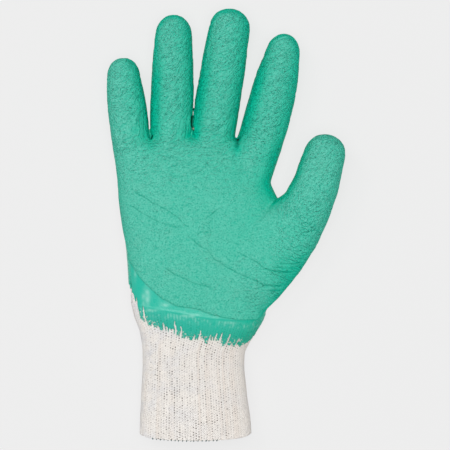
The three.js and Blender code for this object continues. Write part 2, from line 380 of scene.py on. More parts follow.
cuff = {
    "wales": 100,
    "steps": 5,               # mesh columns in a wale
    "rows": 165,
    "courses": 1.5 * mm,      # height of one stitch
    "ribHeight": 0.05 * mm,
    "wall": 1.4 * mm,
    "drop": 1.5 * mm,         # how far the knit hangs over the overlocked edge
    "arch": 1.9 * mm,         # its lower edge is higher at the sides by this
    "corner": 1.7 * mm,       # and by this more at its rounded corners
    "softness": 0.35 * mm,    # how deep its knit waves in and out
    "middleHeight": 13 * mm,  # a place inside the hand all along the cuff
    "sections": 60,
    "rays": 240,
}


def cuffSections():
    low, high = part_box("knit_cuff")
    start = low.y + form["mouthTrim"] + 0.6 * mm
    rows = np.linspace(start, high.y, cuff["sections"])
    turns = np.linspace(0, 2 * math.pi, cuff["rays"], endpoint=False) - math.pi / 2
    steps = np.arange(cuff["wales"] * cuff["steps"]) / (cuff["wales"] * cuff["steps"])
    rings = []
    for y in rows:
        span = [handTree.ray_cast(Vector((side, y, cuff["middleHeight"])), Vector((-np.sign(side), 0, 0)))[0].x
                for side in (-0.2, 0.2)]
        middle = Vector((sum(span) / 2, y, cuff["middleHeight"]))
        ring = []
        for turn in turns:
            heading = Vector((math.cos(turn), 0, math.sin(turn)))
            hit = handTree.ray_cast(middle + heading * 0.2, -heading)[0]
            ring.append((hit.x, hit.z))
        ring = np.array(ring + ring[:1])
        run = np.concatenate([[0], np.cumsum(np.hypot(*np.diff(ring, axis=0).T))])
        rings.append(np.stack([np.interp(steps * run[-1], run, ring[:, 0]),
                               np.interp(steps * run[-1], run, ring[:, 1])], axis=1))
    return rows, np.array(rings)


sectionRows, sectionRings = cuffSections()
waleTree = KDTree(len(sectionRows) * cuff["wales"])
walePlaces = []
for r, y in enumerate(sectionRows):
    for c in range(0, sectionRings.shape[1], cuff["steps"]):
        waleTree.insert(Vector((sectionRings[r, c, 0], y, sectionRings[r, c, 1])), len(walePlaces))
        walePlaces.append((r, c))
waleTree.balance()
print("cuff sections", sectionRings.shape)


def waleOf(spots):
    found = np.zeros(len(spots))
    for i, spot in enumerate(spots):
        r, c = walePlaces[waleTree.find(Vector(spot))[1]]
        ring = sectionRings[r]
        count = len(ring)
        before = ring[(c - cuff["steps"]) % count]
        after = ring[(c + cuff["steps"]) % count]
        way = after - before
        here = ring[c]
        slide = ((spot[0] - here[0]) * way[0] + (spot[2] - here[1]) * way[1]) / (way @ way)
        found[i] = c / cuff["steps"] + 2 * slide
    return found


def cuffBottom():
    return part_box("knit_cuff")[0].y - cuff["drop"]


def cuffWall(share, y):
    columns = sectionRings.shape[1]
    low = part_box("knit_cuff")[0].y
    row = np.interp(y, sectionRows, np.arange(len(sectionRows)))
    below = np.minimum(row.astype(int), len(sectionRows) - 2)
    mix = (row - below)[:, None]
    column = (share % 1) * columns
    left = np.floor(column).astype(int) % columns
    right = (left + 1) % columns
    slide = (column - np.floor(column))[:, None]
    first = sectionRings[below, left] * (1 - slide) + sectionRings[below, right] * slide
    second = sectionRings[below + 1, left] * (1 - slide) + sectionRings[below + 1, right] * slide
    flare = (sectionRings[0] - sectionRings[4]) / (sectionRows[4] - sectionRows[0])
    past = np.maximum(sectionRows[0] - y, 0)[:, None]
    ring = first * (1 - mix) + second * mix + flare[left] * past
    spots = np.stack([ring[:, 0], y, ring[:, 1]], axis=1)
    middle = sectionRings[0].mean(0)
    half = np.ptp(sectionRings[0][:, 0]) / 2
    across = np.clip((spots[:, 0] - middle[0]) / half, -1, 1)
    lift = cuff["arch"] * across ** 2 + cuff["corner"] * across ** 12
    spots[:, 1] += lift * smoothStep(low + 30 * mm, low, y)
    return spots


def knitCuff():
    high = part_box("knit_cuff")[1]
    columns = cuff["wales"] * cuff["steps"]
    bm = bmesh.new()
    bmesh.ops.create_grid(bm, x_segments=columns, y_segments=cuff["rows"], size=0.5)
    mesh = meshOf(bm, "knittedCuff")
    flat = coordsOf(mesh)
    share = flat[:, 0] + 0.5
    bottom = cuffBottom()
    y = bottom + (flat[:, 1] + 0.5) * (high.y - bottom)
    putCoords(mesh, cuffWall(share, y))
    putWaleSpace(mesh, share * cuff["wales"], (y - bottom) / cuff["courses"])
    bm = bmeshOf(mesh)
    bmesh.ops.remove_doubles(bm, verts=bm.verts, dist=0.01 * mm)
    bmesh.ops.recalc_face_normals(bm, faces=bm.faces)
    mesh = meshOf(bm, "knittedCuff")
    spots = coordsOf(mesh)
    normals = normalsOf(mesh)
    space = arrayOf(mesh.attributes["waleSpace"].data, "vector")
    rib = np.cos(np.pi * space[:, 0]) ** 2
    perWale = np.stack([np.floor(space[:, 0] + 0.5) * 3.1, space[:, 1] * 0.06, space[:, 2]], axis=1)
    uneven = 1 + 0.7 * noiseAt(perWale, 1, 3)
    soft = noiseAt(spots, 70, 4) * cuff["softness"]
    calm = 1 - 0.6 * smoothStep(high.y - 20 * mm, high.y, spots[:, 1])
    relief = cuff["ribHeight"] * (rib ** 0.6 - 0.8) * uneven * calm + soft * calm
    putCoords(mesh, spots + normals * relief[:, None])
    return closedCoat(mesh, "knitted_cuff", cuff["wall"], 0.06)


# Crinkled dip

grip = {
    "voxel": 0.58 * mm,
    "proud": 1.5 * mm,        # its face over the liner
    "wall": 1.2 * mm,
    "edgeProud": 1.0 * mm,    # where it thins out at its edge
    "edgeWidth": 1.8 * mm,
    "waviness": 0.5 * mm,     # of its edge over the heel
    "clearance": 0.25 * mm,
    "softening": 6,
    "kept": 0.7,              # share of its faces that stay once the folds are in
    "arcCentre": (52 * mm, 11 * mm),
    "bareDot": (-19.4 * mm, 57.7 * mm),
}

creaseDepth = 0.85 * mm

# Grooves pressed into the crinkled dip, as lines in millimetres across and along. Their depth also paints them
# darker green as painted shade, and the deepest rows, where fingers touch or meet the palm, near black as
# painted shadow.
creases = {
    "upper little": {"deep": 0.42, "wide": 0.5,
     "line": [(-57.2, 22.2), (-47.8, 16.3), (-43.4, 12.9), (-36.8, 9.9), (-31.4, 6.6), (-27.2, 3.9),
              (-24.0, 0.3), (-19.4, -2.7)]},
    "lower little": {"deep": 0.42, "wide": 0.5,
     "line": [(-57.8, 12.9), (-51.2, 8.1), (-46.4, 5.1), (-40.4, 2.1), (-34.0, -0.1), (-28.4, -1.2),
              (-23.0, -0.9)]},
    "little spur": {"deep": 0.3, "wide": 0.5, "line": [(-33.2, -0.9), (-33.8, -5.1)]},
    "long heel": {"deep": 0.4, "wide": 0.5,
     "line": [(-23.6, -3.3), (-22.4, -6.9), (-18.2, -10.5), (-11.0, -15.0), (-6.2, -20.4), (1.6, -25.5),
              (8.2, -29.1), (16.4, -32.5), (22.4, -35.1), (31.6, -36.9)]},
    "middle spur": {"deep": 0.35, "wide": 0.5,
     "line": [(-18.2, -6.9), (-14.3, -3.9), (-8.8, -3.3), (-7.9, -7.0)]},
    "upper scratch": {"deep": 0.35, "wide": 0.4, "line": [(-12.3, 3.4), (-1.9, 11.4)]},
    "lower scratch": {"deep": 0.35, "wide": 0.4, "line": [(-10.8, 0.4), (-7.4, 4.7)]},
    "third scratch": {"deep": 0.25, "wide": 0.4, "line": [(-8.6, 6.0), (-2.8, 12.3)]},
    "index line": {"deep": 0.25, "wide": 0.45, "line": [(4.9, 14.5), (8.5, 18.6), (13.5, 21.5)]},
    "ring line": {"deep": 0.35, "wide": 0.5, "line": [(-34.0, 30.0), (-28.1, 28.5), (-22.1, 29.1)]},
    "low left": {"deep": 0.45, "wide": 0.5,
     "line": [(-38.0, -24.3), (-32.0, -28.5), (-26.0, -31.8), (-18.4, -34.5), (-11.0, -36.9), (-5.6, -39.6)]},
    "thumb line": {"deep": 0.4, "wide": 0.5,
     "line": [(4.6, -15.3), (11.0, -18.3), (17.8, -21.9), (22.9, -25.5), (29.2, -27.7), (36.4, -28.5)]},
    "ripple one": {"deep": 0.4, "wide": 0.45, "line": [(31.3, -23.0), (37.5, -23.6), (45.4, -22.4)]},
    "ripple two": {"deep": 0.4, "wide": 0.45, "line": [(26.5, -24.2), (34.5, -26.0), (43.6, -26.1)]},
    "ripple three": {"deep": 0.35, "wide": 0.45, "line": [(24.0, -26.4), (35.0, -28.5), (41.7, -27.6)]},
    "ripple four": {"deep": 0.35, "wide": 0.45, "line": [(20.9, -35.3), (27.5, -36.9), (33.8, -36.5)]},
    "ripple five": {"deep": 0.35, "wide": 0.45, "line": [(20.3, -37.7), (26.5, -39.5), (33.2, -39.2)]},
    "ripple six": {"deep": 0.3, "wide": 0.4, "line": [(10.5, -42.3), (16.0, -42.3)]},
    "ripple seven": {"deep": 0.25, "wide": 0.4, "line": [(8.1, -45.3), (20.9, -46.2)]},
    "thumb arc": {"deep": 0.35, "wide": 0.45, "line": [(43.6, -4.0), (48.5, -4.4), (53.4, -2.8)]},
    "ring and middle touch": {"deep": 1.2, "wide": 0.6,
     "line": [(-19.8, 66.0), (-20.2, 60.0), (-19.8, 55.5)]},
    "under the index": {"deep": 0.85, "wide": 1.2, "line": [(6.9, 53.0), (7.1, 49.0), (7.3, 46.0)]},
    "under the little": {"deep": 1.0, "wide": 0.9, "line": [(-44.4, 54.0), (-44.9, 51.0)]},
}


# Painted shade: soft deeper green laid into the hollow places under the fingers and beside the thumb
paintedHollowShade = [
    {"spot": (28 * mm, 22 * mm), "reach": 9 * mm, "strength": 0.6},
    {"spot": (34 * mm, 38 * mm), "reach": 8 * mm, "strength": 0.45},
    {"spot": (7 * mm, 46 * mm), "reach": 4.5 * mm, "strength": 0.6},
    {"spot": (-19.5 * mm, 52 * mm), "reach": 4.5 * mm, "strength": 0.5},
    {"spot": (-45 * mm, 48 * mm), "reach": 4.5 * mm, "strength": 0.5},
    {"spot": (38 * mm, -30 * mm), "reach": 12 * mm, "strength": 0.42},
    {"spot": (46 * mm, 0), "reach": 14 * mm, "strength": 0.14},
    {"spot": (20 * mm, -2 * mm), "reach": 12 * mm, "strength": 0.15},
]


def distanceTo(line, spots):
    best = np.full(len(spots), 1e9)
    ends = np.ones(len(spots))
    points = np.array(line) * mm
    run = np.concatenate([[0], np.cumsum(np.hypot(*np.diff(points, axis=0).T))])
    for i in range(len(points) - 1):
        way = points[i + 1] - points[i]
        share = np.clip(((spots[:, :2] - points[i]) @ way) / (way @ way), 0, 1)
        gap = np.hypot(*(spots[:, :2] - points[i] - share[:, None] * way).T)
        closer = gap < best
        best[closer] = gap[closer]
        placed = (run[i] + share * (run[i + 1] - run[i])) / run[-1]
        ends[closer] = placed[closer]
    return best, np.clip(np.minimum(ends, 1 - ends) * 11, 0.25, 1)


def creaseRelief(spots):
    wander = np.stack([noiseAt(spots, 180, 11), noiseAt(spots, 180, 12)], axis=1) * 0.7 * mm
    broken = 1 + 0.3 * noiseAt(spots, 300, 13)
    moved = spots[:, :2] + wander
    depth = np.zeros(len(spots))
    for row in creases.values():
        gap, fade = distanceTo(row["line"], moved)
        width = row["wide"] * mm
        groove = np.exp(-(gap / width) ** 2) - 0.3 * np.exp(-((gap - 2.3 * width) / width) ** 2)
        depth += creaseDepth * row["deep"] * groove * fade * broken
    return depth


# Each finger between these places across the hand: where its middle line starts, how far that line and
# the wales lean, and half the width that its folds arch over
fingerLines = [
    {"from": -80 * mm, "to": -45.5 * mm, "start": -55.4 * mm, "half": 11 * mm, "lean": -0.13, "wales": -0.145},
    {"from": -45.5 * mm, "to": -19.5 * mm, "start": -32.6 * mm, "half": 12.5 * mm, "lean": 0.01, "wales": 0.01},
    {"from": -19.5 * mm, "to": 9 * mm, "start": -7.9 * mm, "half": 13 * mm, "lean": 0.15, "wales": 0.148},
    {"from": 9 * mm, "to": 80 * mm, "start": 21.6 * mm, "half": 13 * mm, "lean": 0.27, "wales": 0.28},
]
fold = {"arch": 0.5, "tilt": 0.28, "palmTilt": 0.14, "thumbTilt": 0.55, "root": 50 * mm}


def foldSpace(spots):
    x, y, z = spots.T
    rise = fold["palmTilt"] * x
    onFinger = smoothStep(fold["root"], 66 * mm, y)
    for row in fingerLines:
        along = x - row["lean"] * (y - fold["root"])
        within = (along > row["from"]) & (along <= row["to"])
        aside = np.clip((along - row["start"]) / row["half"], -1, 1)
        arch = row["half"] * (fold["arch"] * np.maximum(aside + 0.3, 0) ** 2 + fold["tilt"] * aside)
        rise = np.where(within, rise * (1 - onFinger) + arch * onFinger, rise)
    onThumb = smoothStep(34 * mm, 44 * mm, x) * smoothStep(0, 14 * mm, y)
    rise = rise * (1 - onThumb) + (fold["thumbTilt"] * (x - 40 * mm)) * onThumb
    return np.stack([x, y - rise, z], axis=1)


def gripStrength(spots):
    fingers = smoothStep(8 * mm, 56 * mm, spots[:, 1])
    thumb = smoothStep(20 * mm, 38 * mm, spots[:, 0] + 0.25 * np.minimum(spots[:, 1], 0))
    heel = smoothStep(-15 * mm, -35 * mm, spots[:, 1]) * smoothStep(0, 30 * mm, spots[:, 0])
    thumb *= 1 - 0.3 * smoothStep(4 * mm, 22 * mm, spots[:, 1])
    return np.clip(0.25 + 0.75 * np.maximum(np.maximum(fingers, thumb), heel), 0, 1)


def foldRelief(spots, strength):
    turned = foldSpace(spots) * (0.3, 1, 1)
    turned[:, 1] += noiseAt(spots, 160, 21) * 1.2 * mm
    folds = 1 - 2 * np.abs(noiseAt(turned, 260, 22))
    small = 1 - 2 * np.abs(noiseAt(turned, 520, 24))
    soft = noiseAt(spots, 70, 23)
    return (0.22 * folds * strength + 0.09 * small * strength + 0.26 * soft) * mm


def wavyEdge(spots):
    return grip["waviness"] * noiseAt(spots, 90, 31)


def gripCoat(liner):
    face = remeshed(inflatedCoat(grip["proud"]), grip["voxel"], grip["softening"], "gripFace")
    spots = coordsOf(face)
    field = np.minimum(insideGrip(spots, wavyEdge(spots)), parted(spots))
    sheet = cutSheet(face, field, "crinkledDip")
    spots = coordsOf(sheet)
    normals = normalsOf(sheet)
    inside = insideGrip(spots, wavyEdge(spots))
    reachIn = np.clip(inside / grip["edgeWidth"], 0, 1)
    sink = (grip["proud"] - grip["edgeProud"]) * (1 - np.sqrt(np.clip(1 - (1 - reachIn) ** 2, 0, 1)))
    strength = gripStrength(spots) * smoothStep(0, 4 * mm, inside)
    crease = creaseRelief(spots) * (normals[:, 2] > 0.2)
    relief = foldRelief(spots, strength) * smoothStep(0, 3 * mm, inside) - crease - sink
    putCoords(sheet, spots + normals * relief[:, None])
    putAttribute(sheet, "crinkle", strength)
    putAttribute(sheet, "foldSpace", foldSpace(spots))
    fromCentre = fromSpot(spots, grip["arcCentre"])
    nearThumb = smoothStep(18 * mm, 30 * mm, spots[:, 0]) * smoothStep(30 * mm, 16 * mm, spots[:, 1])
    putAttribute(sheet, "arc", smoothStep(5 * mm, 10 * mm, fromCentre) * nearThumb)
    # Painted shade, kept in the side attribute: flanks facing +X, away from the key light, are darker, more so
    # on the fingers; the fingers' left flanks are darker in a band that fades towards the tips; there is less
    # of it on the hand's outer edges
    onFinger = smoothStep(10 * mm, 45 * mm, spots[:, 1]) * smoothStep(50 * mm, 38 * mm, spots[:, 0])
    side = smoothStep(-0.35, 0.95, normals[:, 0]) * (0.45 + 0.35 * onFinger)
    outer = smoothStep(-50 * mm, -58 * mm, spots[:, 0] + 0.13 * (spots[:, 1] - 50 * mm))
    outer = np.maximum(outer, smoothStep(44 * mm, 54 * mm, spots[:, 0]))
    banded = smoothStep(38 * mm, 60 * mm, spots[:, 1]) * (1 - 0.75 * smoothStep(84 * mm, 112 * mm, spots[:, 1]))
    side += smoothStep(-0.05, 0.8, -normals[:, 0]) * banded * (1 - outer)
    side *= 1 - 0.5 * outer * (spots[:, 0] > 0)
    # Weight of the painted shade at grazing edges, less on the hand's outer edges
    putAttribute(sheet, "rim", 1 - 0.7 * outer)
    # Painted shade in the hollow places, added to the side shade
    for row in paintedHollowShade:
        side += row["strength"] * np.exp(-(fromSpot(spots, row["spot"]) / row["reach"]) ** 2)
    putAttribute(sheet, "side", np.clip(side, 0, 1))
    # The grooves' depth, kept as the mask of their painted shade
    putAttribute(sheet, "crease", np.clip(crease / (0.8 * mm), 0, 1))
    putAttribute(sheet, "bare", smoothStep(0.9 * mm, 0.4 * mm, fromSpot(spots, grip["bareDot"])))
    return closedCoat(sheet, "crinkled_latex", grip["wall"] - 0.15 * mm, 0.06, liner, grip["clearance"],
                      grip["kept"])


# Smooth dip

base = {
    "voxel": 0.5 * mm,
    "proud": 0.85 * mm,
    "wall": 0.6 * mm,
    "underGrip": 3.5 * mm,    # how far it runs on under the crinkled dip
    "tooth": 9.5 * mm,        # longest finger of bare knit in its ragged edge
    "rarity": 1.7,            # higher leaves fewer long ones
    "seed": 7,
    "clearance": 0.12 * mm,
    "softening": 4,
}
toothDraw = np.random.default_rng(base["seed"])
toothLengths = toothDraw.random(cuff["wales"]) ** base["rarity"]


def raggedEdge(spots, wale):
    moved = wale + 0.5 + 0.12 * noiseAt(spots, 260, 40)
    number = np.floor(moved).astype(int) % len(toothLengths)
    inside = moved - np.floor(moved)
    pulse = smoothStep(0.03, 0.24, inside) * (1 - smoothStep(0.76, 0.97, inside))
    onTop = smoothStep(14 * mm, 4 * mm, spots[:, 0])
    pulse *= 0.4 + 0.6 * onTop
    jitter = (noiseAt(spots, 700, 41) * 1.5 * mm + noiseAt(spots, 1500, 42) * 1.0 * mm) * (0.4 + 0.6 * onTop)
    return base["tooth"] * (toothLengths[number] * pulse - 0.26) + jitter


def smoothCoat(liner):
    face = remeshed(inflatedCoat(base["proud"]), base["voxel"], base["softening"], "baseFace")
    spots = coordsOf(face)
    aboveAll = aboveDip(spots, dipStep)
    fromEdge = pastEdge(baseEdge, spots)
    near = (np.abs(fromEdge) < 12 * mm) & (aboveAll > -3 * mm) & (spots[:, 1] < -15 * mm)
    ragged = np.zeros(len(spots))
    ragged[near] = raggedEdge(spots[near], waleOf(spots[near]))
    field = np.minimum(lesser(aboveAll, fromEdge - ragged, 1 * mm), base["underGrip"] - insideGrip(spots))
    field = np.minimum(field, parted(spots))
    sheet = cutSheet(face, field, "smoothDip")
    spots = coordsOf(sheet)
    normals = normalsOf(sheet)
    fromEdge = pastEdge(baseEdge, spots)
    wale = waleOf(spots)
    ribs = np.cos(np.pi * wale) ** 2
    below = -pastEdge(knitLine, spots)
    thin = smoothStep(-0.6 * mm, 1.6 * mm, below) * (0.55 + 0.45 * smoothStep(9 * mm, 1 * mm, fromEdge))
    lip = 0.3 * mm * np.exp(-((below + 0.6 * mm) / (0.7 * mm)) ** 2)
    perWale = np.stack([np.floor(wale + 0.5) * 3.1, spots[:, 1] * 90, np.zeros_like(wale)], axis=1)
    uneven = 0.75 + 1.1 * noiseAt(perWale, 1, 45)
    relief = 0.2 * mm * (ribs - 0.6) * thin * uneven + 0.2 * mm * noiseAt(spots, 90, 43) + lip
    putCoords(sheet, spots + normals * relief[:, None])
    putWaleSpace(sheet, wale, spots[:, 1] / cuff["courses"])
    putAttribute(sheet, "thin", thin)
    putAttribute(sheet, "worn", thin ** 3 * smoothStep(18 * mm, 9 * mm, spots[:, 0]))
    # Painted shadow: the smooth dip is darker from about 1 mm short of the crinkled dip's edge and on under it
    putAttribute(sheet, "gripEdgeShadow", 0.35 * smoothStep(-1.0 * mm, 0.2 * mm, insideGrip(spots)))
    glint = np.zeros(len(spots))
    for row in glints:
        off = (spots[:, :2] - row["spot"]) / (row["wide"], row["tall"])
        glint += row["strength"] * np.exp(-(off ** 2).sum(1))
    glint *= 0.75 + 0.8 * noiseAt(spots, 400, 44)
    # Pale spots on the ribs just below the knit line, mixed into the same attribute and colour as the painted
    # glints
    lumps = smoothStep(0.0, 1.5 * mm, below) * smoothStep(6 * mm, 2.5 * mm, below) * ribs
    putAttribute(sheet, "glint", glint + 0.35 * lumps * smoothStep(-0.1, 0.4, noiseAt(spots, 500, 46)))
    # Painted shade on the flank facing +X, away from the key light
    putAttribute(sheet, "side", smoothStep(-0.25, 0.6, normals[:, 0]))
    return closedCoat(sheet, "smooth_latex_band", base["wall"], 0.15, liner, base["clearance"])


# Knitted liner of the hand

liner = {
    "voxel": 1.1 * mm,
    "wall": 1.4 * mm,
    "softening": 4,
    "stitch": 1.95 * mm,
    "knuckles": 52 * mm,
}

def linerWales(spots):
    ring = sectionRings[-1]
    count = len(ring)
    number = np.arange(count) * cuff["wales"] / count
    leftmost = int(np.argmin(ring[:, 0]))
    rightmost = int(np.argmax(ring[:, 0]))
    bottom = np.arange(leftmost - count, rightmost + 1)
    top = np.arange(leftmost, rightmost, -1)
    lean = np.zeros(len(spots))
    for row in fingerLines:
        within = (spots[:, 0] > row["from"]) & (spots[:, 0] <= row["to"])
        lean[within] = row["wales"]
    x = spots[:, 0] - lean * np.maximum(spots[:, 1] - liner["knuckles"], 0)
    middle = ring[:, 1].mean()
    back = np.interp(x, ring[bottom, 0], np.where(bottom < 0, number[bottom] - cuff["wales"], number[bottom]))
    front = np.interp(x, ring[top, 0], number[top])
    past = np.clip(x - ring[rightmost, 0], 0, None) - np.clip(ring[leftmost, 0] - x, 0, None)
    back = back + past / liner["stitch"]
    front = front - past / liner["stitch"]
    return np.where(spots[:, 2] < middle, back, front)


def linerShell():
    face = remeshed(handMesh, liner["voxel"], liner["softening"], "linerFace")
    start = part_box("knit_cuff")[1].y
    sheet = cutSheet(face, coordsOf(face)[:, 1] - start, "knittedLiner")
    spots = coordsOf(sheet)
    normals = normalsOf(sheet)
    putWaleSpace(sheet, linerWales(spots), (spots[:, 1] - cuffBottom()) / cuff["courses"])
    soft = noiseAt(spots, 60, 51) * 0.3 * mm * smoothStep(start, start + 10 * mm, spots[:, 1])
    putCoords(sheet, spots + normals * (soft - 0.15 * mm)[:, None])
    return closedCoat(sheet, "knitted_liner", liner["wall"], 0.2)


# Overlocked edge

hem = {
    "thread": 0.27 * mm,      # radius
    "stitches": 72,
    "gap": 0.42 * mm,         # from the knit's face to the thread's middle
    "shownFrom": -44 * mm,    # on the palm side the loops show only between these places
    "shownTo": -3.5 * mm,
    "seed": 5,
}


def threadLoops(paths, name):
    data = bpy.data.curves.new(name, "CURVE")
    data.dimensions = "3D"
    data.bevel_depth = hem["thread"]
    data.bevel_resolution = 1
    data.use_fill_caps = True
    data.resolution_u = 3
    for path in paths:
        spline = data.splines.new("NURBS")
        spline.points.add(len(path) - 1)
        for point, spot in zip(spline.points, path):
            point.co = (*spot, 1)
        spline.use_endpoint_u = True
        spline.order_u = 3
    obj = newObject(name, data)
    mesh = shownMesh(obj)
    bpy.data.objects.remove(obj)
    return mesh


def mouthEdge(share):
    places = np.array([share - 0.004, share, share + 0.004])
    before, spot, after = cuffWall(places, np.full(3, cuffBottom()))
    out = Vector((after[2] - before[2], 0, before[0] - after[0])).normalized()
    middle = Vector((sectionRings[0][:, 0].mean(), spot[1], sectionRings[0][:, 1].mean()))
    return Vector(spot), out if out.dot(Vector(spot) - middle) > 0 else -out


def overlockedEdge():
    draw = np.random.default_rng(hem["seed"])
    inner = -(cuff["wall"] + hem["gap"])
    paths = []
    for i in range(hem["stitches"]):
        share = (i + 0.3 * draw.random()) / hem["stitches"]
        spot, out = mouthEdge(share)
        turn = mouthEdge(share + 0.5 / hem["stitches"])[0] - spot
        shown = hem["shownFrom"] < spot.x < hem["shownTo"]
        rise = (0.1 + 0.5 * draw.random()) * mm
        under = (0.2 + 0.25 * draw.random()) * mm
        steps = [(inner, 3.4 * mm, 0.9), (inner, 2.6 * mm, 0.5), (inner, 2.0 * mm, 0.2)]
        if shown:
            steps += [(inner * 0.6, -0.1 * mm, 0.3), (inner * 0.2, -under, 0.2),
                      (hem["gap"] * 0.6, -under * 0.4, 0.1), (hem["gap"] * 0.7, rise, 0.0)]
        paths.append([spot + out * away + Vector((0, up, 0)) + turn * slide for away, up, slide in steps])
    for row in (2.2 * mm, 3.2 * mm):
        path = []
        for i in range(hem["stitches"] * 2):
            spot, out = mouthEdge((i + 0.5) / (hem["stitches"] * 2))
            path.append(spot + out * inner + Vector((0, row + (0.4 * mm if i % 2 else 0), 0)))
        paths.append(path + path[:1])
    return newObject("overlocked_edge", threadLoops(paths, "overlock"))


print("forms ready")
handObject = newObject("handForm", handMesh)
linerPiece = linerShell()
print("knitted liner", len(linerPiece.data.polygons), "faces")
cuffPiece = knitCuff()
print("knitted cuff", len(cuffPiece.data.polygons), "faces")
basePiece = smoothCoat(handObject)
print("smooth dip", len(basePiece.data.polygons), "faces")
gripPiece = gripCoat(handObject)
print("crinkled dip", len(gripPiece.data.polygons), "faces")
bpy.data.objects.remove(handObject)
hemPiece = overlockedEdge()
print("overlocked edge", len(hemPiece.data.polygons), "faces")


# Materials

def newMaterial(name, roughness, specular):
    material = bpy.data.materials.new(name)
    material.use_nodes = True
    tree = material.node_tree
    shader = tree.nodes["Principled BSDF"]
    shader.inputs["Roughness"].default_value = roughness
    shader.inputs["Specular IOR Level"].default_value = specular
    return material, tree, shader


def dress(piece, material, slot, *nodes):
    piece.data.materials.clear()
    piece.data.materials.append(material)
    for polygon in piece.data.polygons:
        polygon.use_smooth = True
    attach(piece, "root")
    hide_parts(*nodes)


# A node with its settings, and its inputs linked or set
def newNode(tree, kind, inputs, **settings):
    made = tree.nodes.new("ShaderNode" + kind)
    for key, value in settings.items():
        setattr(made, key, value)
    for key, value in inputs.items():
        if isinstance(value, bpy.types.NodeSocket):
            tree.links.new(value, made.inputs[key])
        else:
            made.inputs[key].default_value = value
    return made


def newGroup(name, inputs, outputs):
    group = bpy.data.node_groups.new(name, "ShaderNodeTree")
    group.interface.new_socket("Vector", in_out="INPUT", socket_type="NodeSocketVector")
    for label, value in inputs.items():
        group.interface.new_socket(label, in_out="INPUT", socket_type="NodeSocketFloat").default_value = value
    for label in outputs:
        group.interface.new_socket(label, in_out="OUTPUT", socket_type="NodeSocketFloat")
    return group, group.nodes.new("NodeGroupInput").outputs, group.nodes.new("NodeGroupOutput").inputs


def grouped(tree, group, **inputs):
    return newNode(tree, "Group", inputs, node_tree=group).outputs


def calculated(tree, operation, first, second=0.0, clamp=False):
    return newNode(tree, "Math", {0: first, 1: second}, operation=operation, use_clamp=clamp).outputs[0]


def times(tree, first, second, clamp=False):
    return calculated(tree, "MULTIPLY", first, second, clamp)


def plus(tree, first, second, clamp=False):
    return calculated(tree, "ADD", first, second, clamp)


def minus(tree, first, second, clamp=False):
    return calculated(tree, "SUBTRACT", first, second, clamp)


def vectored(tree, operation, first, second):
    return newNode(tree, "VectorMath", {0: first, 1: second}, operation=operation).outputs[0]


def scaled(tree, vector, scale):
    return newNode(tree, "VectorMath", {0: vector, "Scale": scale}, operation="SCALE").outputs[0]


def separated(tree, vector):
    return newNode(tree, "SeparateXYZ", {0: vector}).outputs


def combined(tree, x, y=0.0, z=0.0):
    return newNode(tree, "CombineXYZ", {0: x, 1: y, 2: z}).outputs[0]


def ramp(tree, value, low, high, outLow=0.0, outHigh=1.0):
    return newNode(tree, "MapRange", {"Value": value, "From Min": low, "From Max": high, "To Min": outLow,
                                      "To Max": outHigh}, interpolation_type="SMOOTHSTEP").outputs["Result"]


def grainy(tree, vector, scale, detail=2.0, roughness=0.5, output="Fac"):
    return newNode(tree, "TexNoise", {"Vector": vector, "Scale": scale, "Detail": detail,
                                      "Roughness": roughness}).outputs[output]


def chanceOf(tree, x, y=0.0):
    return newNode(tree, "TexWhiteNoise", {"Vector": combined(tree, x, y)},
                   noise_dimensions="3D").outputs["Value"]


def attributed(tree, name, output="Fac"):
    return newNode(tree, "Attribute", {}, attribute_name=name).outputs[output]


def objectSpace(tree):
    return newNode(tree, "TexCoord", {}).outputs["Object"]


def facingAway(tree):
    return newNode(tree, "LayerWeight", {"Blend": 0.5}).outputs["Facing"]


def bumped(tree, shader, *layers):
    below = {}
    for height, distance in layers:
        made = newNode(tree, "Bump", {"Height": height, "Distance": distance, "Strength": 1.0, **below})
        below = {"Normal": made.outputs["Normal"]}
    tree.links.new(below["Normal"], shader.inputs["Normal"])


# Colours of the palette laid one over another, each by its share
def painted(tree, shader, palette, under, *layers):
    color = (*palette[under], 1)
    for share, tint in layers:
        color = newNode(tree, "Mix", {0: share, 6: color, 7: (*palette[tint], 1)}, data_type="RGBA").outputs[2]
    tree.links.new(color, shader.inputs["Base Color"])


# Worm-like folds: noise drawn out along one direction and sharpened into ridges. Size in millimetres.
worm = {"driftScale": 0.4, "warpGain": 2.4, "detail": 1.5, "sharpness": 7.5, "power": 1.3}


def foldsGroup():
    group, given, out = newGroup("wormFolds", {"Size": 1.5, "Slant": 0.0, "Stretch": 0.4, "Warp": 0.8},
                                 ["Height"])
    sized = scaled(group, given["Vector"], calculated(group, "DIVIDE", 1 / mm, given["Size"]))
    turned = newNode(group, "VectorRotate", {"Vector": sized, "Angle": times(group, given["Slant"], -1.0)},
                     rotation_type="Z_AXIS").outputs[0]
    drift = grainy(group, turned, worm["driftScale"], 1.0, output="Color")
    centred = vectored(group, "SUBTRACT", drift, (0.5, 0.5, 0.5))
    warp = times(group, given["Warp"], worm["warpGain"])
    moved = separated(group, vectored(group, "ADD", turned, scaled(group, centred, warp)))
    drawn = combined(group, times(group, moved[0], given["Stretch"]), moved[1], moved[2])
    away = calculated(group, "ABSOLUTE", minus(group, grainy(group, drawn, 1.0, worm["detail"]), 0.5))
    ridge = minus(group, 1.0, times(group, away, worm["sharpness"]), clamp=True)
    group.links.new(calculated(group, "POWER", ridge, worm["power"]), out["Height"])
    return group


# Knit: the vector's X counts wales and its Y counts courses. Height is the yarn, Gap the dark
# dotted line between two wales, Column a value of its own for each wale.
stitch = {
    "flattening": 0.35,               # how much lower the yarn lies at a wale's edge
    "fullness": 0.8,                  # lower is a fuller yarn
    "edge": (0.42, 0.75),             # the dots fade in between these places, 1 being the wale's edge
    "dot": (-0.1, 0.6),
    "open": (0.4, 0.64, 0.25, 1.1),   # stretches of a wale that are closed or open
    "rarity": 1.3,
    "leastDot": 0.12,
    "dotGain": 1.2,
}


